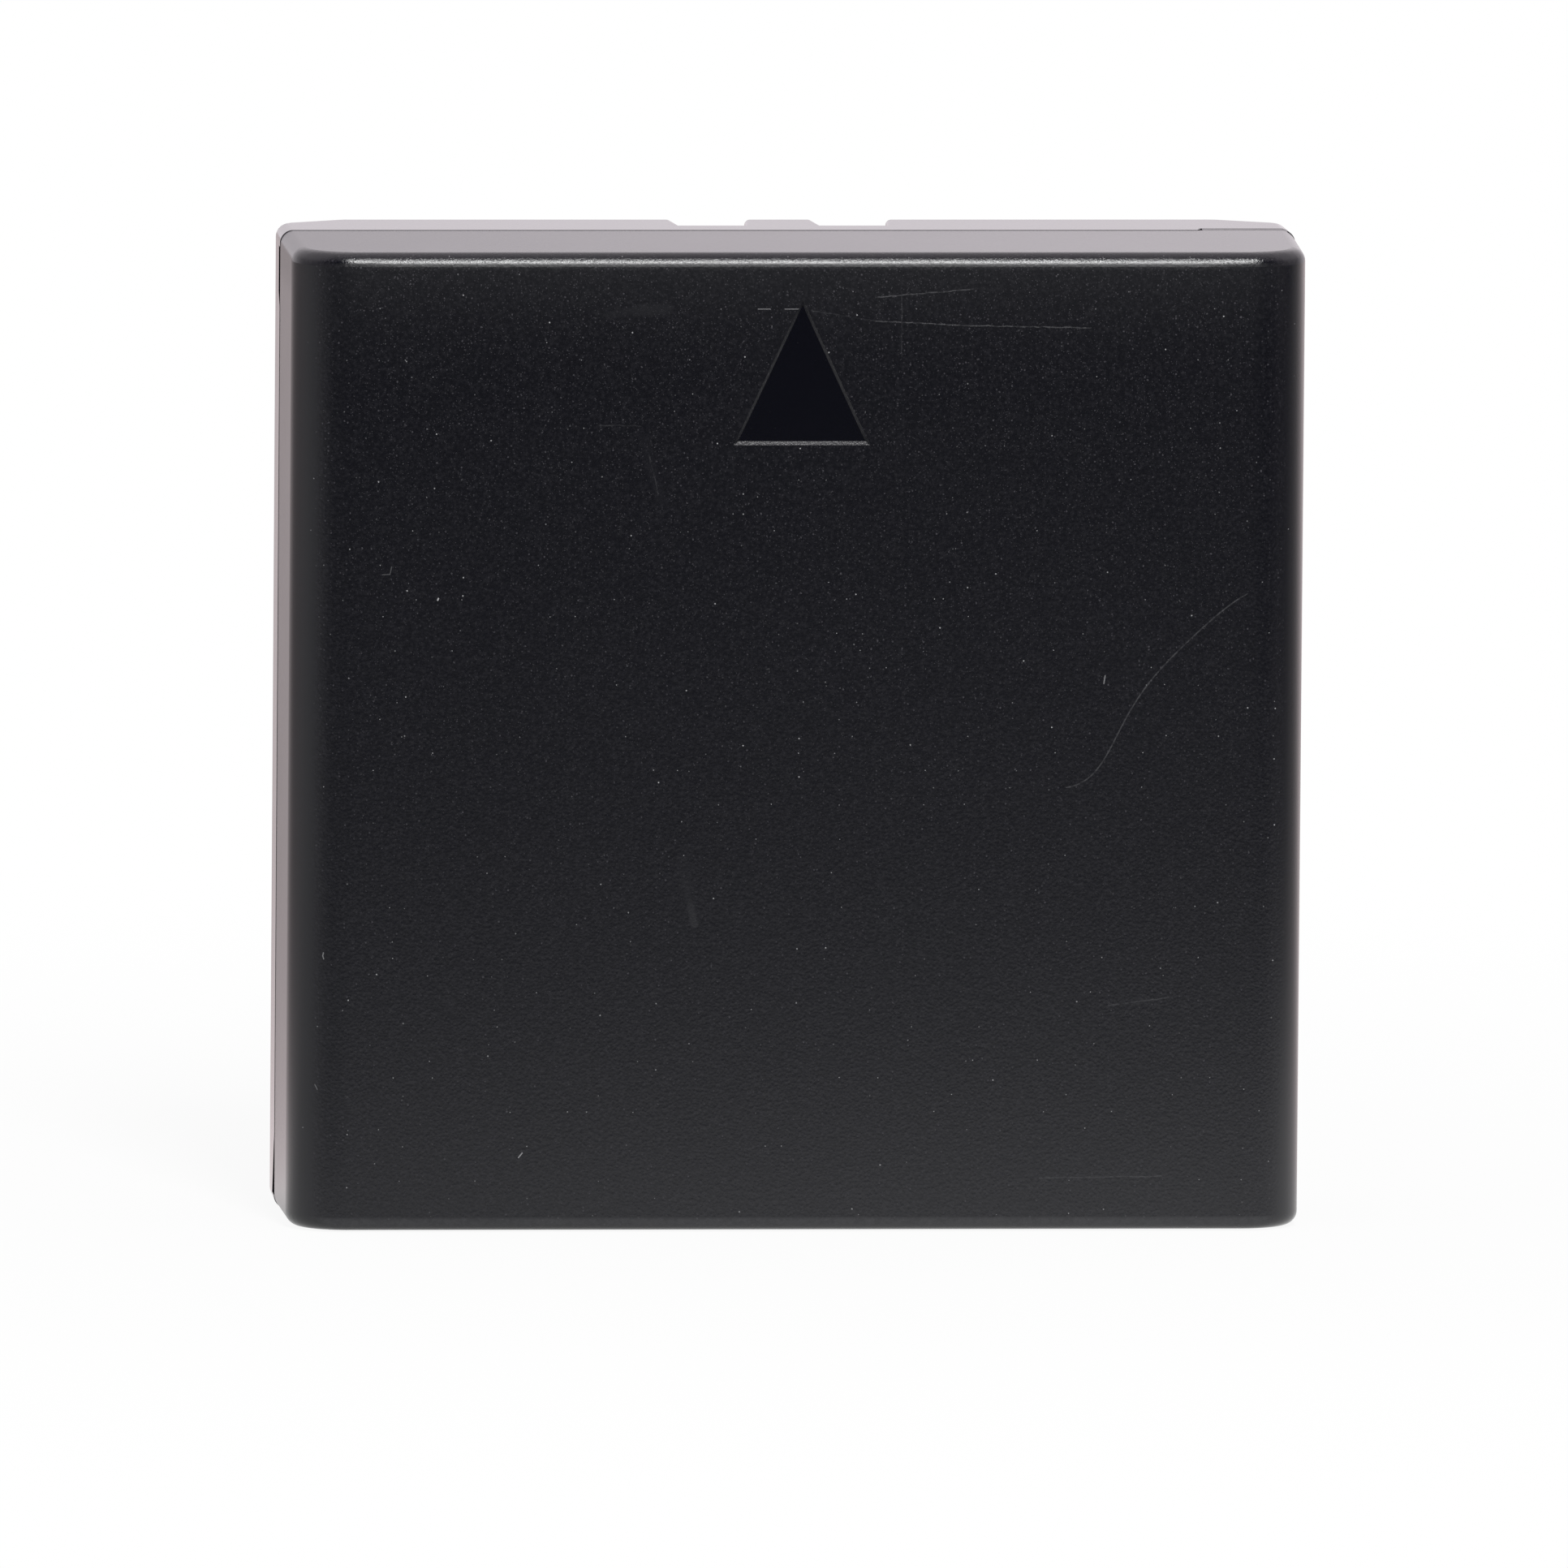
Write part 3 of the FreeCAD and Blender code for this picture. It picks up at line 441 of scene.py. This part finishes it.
def pouch_foil():
    finish, point = new_finish("pouch_foil")
    dimple = point.noise(0.35, 3.0, 0.5)
    brushed = point.noise(7.0, 2.0, 0.5)
    colour = dimple.tint(FOIL_DARK, FOIL_LIGHT)
    rough = 0.3 + brushed * 0.15
    close_finish(point, {"Base Color": colour, "Roughness": rough, "Metallic": 0.85},
                 dimple * 0.8 + brushed * 0.2, depth=0.05)
    return finish


foil = pouch_foil()
for cell in ("front_cell", "middle_cell", "rear_cell"):
    lay(cell, foil)


# Padding and insulation: acrylic tape between the cells, soft foam at the
# walls and a grey fibre sheet under the board, all cut flat and stuck in place.
def sheet_finish(name, dark, light, scale, roughness, depth):
    """A two-tone finish, mottled at a scale in spots to the millimetre."""
    finish, point = new_finish(name)
    mottle = point.noise(scale, 4.0, 0.65)
    colour = mottle.fade(0.3, 0.7).tint(dark + (1.0,), light + (1.0,))
    close_finish(point, {"Base Color": colour, "Roughness": roughness + mottle * 0.1}, mottle, depth)
    return finish


tape = sheet_finish("acrylic_tape", dark=(0.5, 0.46, 0.34), light=(0.62, 0.58, 0.46),
                    scale=2.5, roughness=0.4, depth=0.01)
foam = sheet_finish("grey_foam", dark=(0.05, 0.05, 0.055), light=(0.12, 0.12, 0.125),
                    scale=3.0, roughness=0.85, depth=0.12)
fibre = sheet_finish("fibre_sheet", dark=(0.2, 0.23, 0.21), light=(0.3, 0.33, 0.3),
                     scale=4.0, roughness=0.7, depth=0.02)
for strip in ("front_cell_tape", "rear_cell_tape"):
    lay(strip, tape)
for pad in ("front_foam_pad", "rear_foam_pad"):
    lay(pad, foam)
lay("cell_insulator", fibre)


# Protection board and its parts: green lacquered glass laminate with two
# switching transistors, a chip, resistor, thermistor, fuse and capacitors soldered on.
lacquer = sheet_finish("green_lacquer", dark=(0.01, 0.075, 0.03), light=(0.015, 0.11, 0.045),
                       scale=1.4, roughness=0.3, depth=0.01)
epoxy = sheet_finish("chip_epoxy", dark=(0.012, 0.012, 0.013), light=(0.03, 0.03, 0.032),
                     scale=9.0, roughness=0.5, depth=0.008)
glaze = sheet_finish("resistor_ceramic", dark=(0.03, 0.03, 0.033), light=(0.07, 0.07, 0.075),
                     scale=6.0, roughness=0.4, depth=0.008)
white_ceramic = sheet_finish("fuse_ceramic", dark=(0.6, 0.6, 0.57), light=(0.72, 0.72, 0.69),
                             scale=5.0, roughness=0.35, depth=0.006)
tan_ceramic = sheet_finish("capacitor_ceramic", dark=(0.3, 0.22, 0.13), light=(0.4, 0.3, 0.19),
                           scale=6.0, roughness=0.35, depth=0.006)
lay("protection_board", lacquer)
for chip in ("switching_transistors", "protection_chip"):
    lay(chip, epoxy)
for resistor in ("sense_resistor", "thermistor"):
    lay(resistor, glaze)
lay("fuse", white_ceramic)
lay("filter_capacitors", tan_ceramic)


# Floor: a wide white table top that the pack stands on. For glossy and transmission rays it is painted light,
# an emission glow brightest close to the pack that fades towards the dark room in front, which the gloss of
# the case mirrors.
FLOOR_HALF_WIDTH = 1.2
FLOOR_FRONT = -1.0
FLOOR_BACK = 1.4
FLOOR_DROP = 0.0001
WHITE = (1.0, 1.0, 1.0, 1.0)
BLACK = (0.0, 0.0, 0.0, 1.0)
PAINT_WHITE = (0.9, 0.9, 0.9, 1.0)
REAR_GLOW_PINK = (1.0, 0.88, 0.9, 1.0)
floor_mesh = bpy.data.meshes.new("table_top")
floor_corners = [(-FLOOR_HALF_WIDTH, FLOOR_FRONT, 0.0), (FLOOR_HALF_WIDTH, FLOOR_FRONT, 0.0),
                 (FLOOR_HALF_WIDTH, FLOOR_BACK, 0.0), (-FLOOR_HALF_WIDTH, FLOOR_BACK, 0.0)]
floor_mesh.from_pydata(floor_corners, [], [(0, 1, 2, 3)])
table_top = bpy.data.objects.new("table_top", floor_mesh)
table_top.location.z = -FLOOR_DROP
bpy.context.collection.objects.link(table_top)
table_paint = bpy.data.materials.new("table_paint")
table_paint.use_nodes = True
table_paint.node_tree.nodes.clear()
table = Tone(table_paint.node_tree)
spot = table.node("ShaderNodeTexCoord", out="Object")
across, away = spot.axis("X"), spot.axis("Y")


def glow(centre_x, decay, strength):
    """Painted light on the table, seen in reflections, that dies away from a point beside the pack, in
    metres.
    """
    off = across - centre_x
    distance = table.math("SQRT", off * off + away * away)
    return (table.math("EXPONENT", distance / -decay) * strength).or_less(1.0)


reach = table.math("SQRT", across * across + away * away) + 0.001
side = across / reach
rear = away / reach
front_left = side.fade(-0.35, -0.95) * rear.fade(0.3, -0.1)
nearby = glow(0.03, decay=0.105, strength=0.96) * (1.0 - front_left * 0.45)
beside = glow(0.06, decay=0.06, strength=2.0)
left_foot = glow(-0.04, decay=0.03, strength=1.6) * rear.fade(0.0, 0.4)
left_ahead = side.fade(-0.12, -0.4) * rear.fade(0.5, 0.1)
right_ahead = side.fade(0.0, 0.2) * side.fade(0.6, 0.3) * rear.fade(0.0, -0.5)
far_front = rear.fade(side * 0.35 - 0.75, 0.2 + side * 0.3, 0.015, 0.45)
far_rear = rear.fade(0.3, 0.95) * (0.3 + side * 0.65)
distant = far_front + right_ahead * 0.05 + left_ahead * 0.12 + far_rear
# The pool is painted light: an emission glow, pink towards the rear, which glossy and transmission rays see
# in place of the lit table.
painted_pool = 1.0 - (1.0 - distant) * (1.0 - nearby) * (1.0 - beside) * (1.0 - left_foot)
painted = table.node("ShaderNodeBsdfDiffuse", {}, {"Color": PAINT_WHITE})
unlit = table.node("ShaderNodeEmission", {}, {"Color": BLACK, "Strength": 1.0})
lit = table.node("ShaderNodeEmission", {},
                 {"Color": rear.fade(-0.3, 0.9).tint(WHITE, REAR_GLOW_PINK), "Strength": 1.0})
painted_glow = table.node("ShaderNodeMixShader", {}, {0: painted_pool, 1: unlit, 2: lit})
bright = table.node("ShaderNodeEmission", {}, {"Color": WHITE, "Strength": 1.0})
backdrop = table.node("ShaderNodeMixShader", {}, {0: reach.fade(0.04, 0.2, 0.92, 1.0), 1: painted, 2: bright})
by_camera = table.node("ShaderNodeLightPath", out="Is Camera Ray")
by_gloss = table.node("ShaderNodeLightPath", out="Is Glossy Ray")
by_glass = table.node("ShaderNodeLightPath", out="Is Transmission Ray")
unseen = table.node("ShaderNodeMixShader", {}, {0: by_gloss.or_more(by_glass), 1: painted, 2: painted_glow})
table_surface = table.node("ShaderNodeMixShader", {}, {0: by_camera, 1: unseen, 2: backdrop})
table.node("ShaderNodeOutputMaterial", {}, {"Surface": table_surface})
floor_mesh.materials.append(table_paint)


# Studio: a white surround above, behind and beside the pack, a dark room on the
# camera's side, and two soft boxes above and in front for the line on the top edge.
SURROUND_WHITE = (1.0, 0.935, 0.985, 1.0)
FILL_STRENGTH = 0.5
AIM_HEIGHT = 0.03
world = bpy.data.worlds.new("studio")
bpy.context.scene.world = world
world.use_nodes = True
world.node_tree.nodes.clear()
air = Tone(world.node_tree)
outward = air.node("ShaderNodeTexCoord", out="Generated")
depthwise = outward.axis("Y")
above = outward.axis("Z").fade(0.0, 0.7)
behind = depthwise.fade(0.3, 0.8)
ahead = depthwise.fade(-0.2, -0.5)
brightness = 0.45 + above.or_more(behind).or_more(ahead) * 0.55
around = depthwise.fade(-0.85, 0.15, 0.02, 1.0) * brightness
fill_light = air.node("ShaderNodeBackground", {}, {"Color": WHITE, "Strength": FILL_STRENGTH})
surround = air.node("ShaderNodeBackground", {},
                    {"Color": around.tint(BLACK, SURROUND_WHITE), "Strength": 1.0})
white_wall = air.node("ShaderNodeBackground", {}, {"Color": WHITE, "Strength": 1.0})
seen = air.node("ShaderNodeLightPath", out="Is Camera Ray")
glossy = air.node("ShaderNodeLightPath", out="Is Glossy Ray")
through = air.node("ShaderNodeLightPath", out="Is Transmission Ray")
reflected = air.node("ShaderNodeMixShader", {}, {0: glossy.or_more(through), 1: fill_light, 2: surround})
sky = air.node("ShaderNodeMixShader", {}, {0: seen, 1: reflected, 2: white_wall})
air.node("ShaderNodeOutputWorld", {}, {"Surface": sky})


def soft_box(name, azimuth, elevation, distance, width, height, power):
    """A rectangular soft box aimed at the middle of the pack."""
    lamp = bpy.data.lights.new(name, "AREA")
    lamp.shape = "RECTANGLE"
    lamp.size = width
    lamp.size_y = height
    lamp.energy = power
    box = bpy.data.objects.new(name, lamp)
    turn = math.radians(azimuth)
    lift = math.radians(elevation)
    outwards = Vector((math.sin(turn) * math.cos(lift), -math.cos(turn) * math.cos(lift), math.sin(lift)))
    box.location = outwards * distance + Vector((0.0, 0.0, AIM_HEIGHT))
    box.rotation_euler = outwards.to_track_quat("Z", "Y").to_euler()
    bpy.context.collection.objects.link(box)


soft_box("key_box", azimuth=6.0, elevation=43.5, distance=1.0, width=0.16, height=0.42, power=4.6)
soft_box("key_rim", azimuth=6.0, elevation=40.0, distance=1.05, width=0.18, height=0.82, power=2.4)


# Camera: a long lens three metres in front of the pack, a little above it and to
# its left, rolled by half a degree. The pack stands a little above the frame's middle.
AZIMUTH = math.radians(-4.486)
ELEVATION = math.radians(6.328)
ROLL = math.radians(0.44)
DISTANCE = 3.012
SENSOR_WIDTH = 36.0
FRAME_PIXELS = 1932.0
PIXELS_PER_METRE = 19002.0
MIDDLE_X = 3.3 / PIXELS_PER_METRE
MIDDLE_Z = 75.7 / PIXELS_PER_METRE
toward = Vector((math.sin(AZIMUTH) * math.cos(ELEVATION), -math.cos(AZIMUTH) * math.cos(ELEVATION),
                 math.sin(ELEVATION)))
level = Vector((math.cos(AZIMUTH), math.sin(AZIMUTH), 0.0))
rise = toward.cross(level)
right = level * math.cos(ROLL) + rise * math.sin(ROLL)
upward = rise * math.cos(ROLL) - level * math.sin(ROLL)
pack_middle = Vector((0.0, 0.0, cad_box[1][2] / 2.0))
lens_place = pack_middle + toward * DISTANCE - right * MIDDLE_X - upward * MIDDLE_Z
camera_data = bpy.data.cameras.new("camera")
camera_data.sensor_width = SENSOR_WIDTH
camera_data.lens = SENSOR_WIDTH * PIXELS_PER_METRE * DISTANCE / FRAME_PIXELS
camera = bpy.data.objects.new("camera", camera_data)
camera.matrix_world = Matrix((
    (right.x, upward.x, toward.x, lens_place.x),
    (right.y, upward.y, toward.y, lens_place.y),
    (right.z, upward.z, toward.z, lens_place.z),
    (0.0, 0.0, 0.0, 1.0)))
bpy.context.collection.objects.link(camera)
bpy.context.scene.camera = camera
bpy.context.scene.view_settings.view_transform = "Standard"
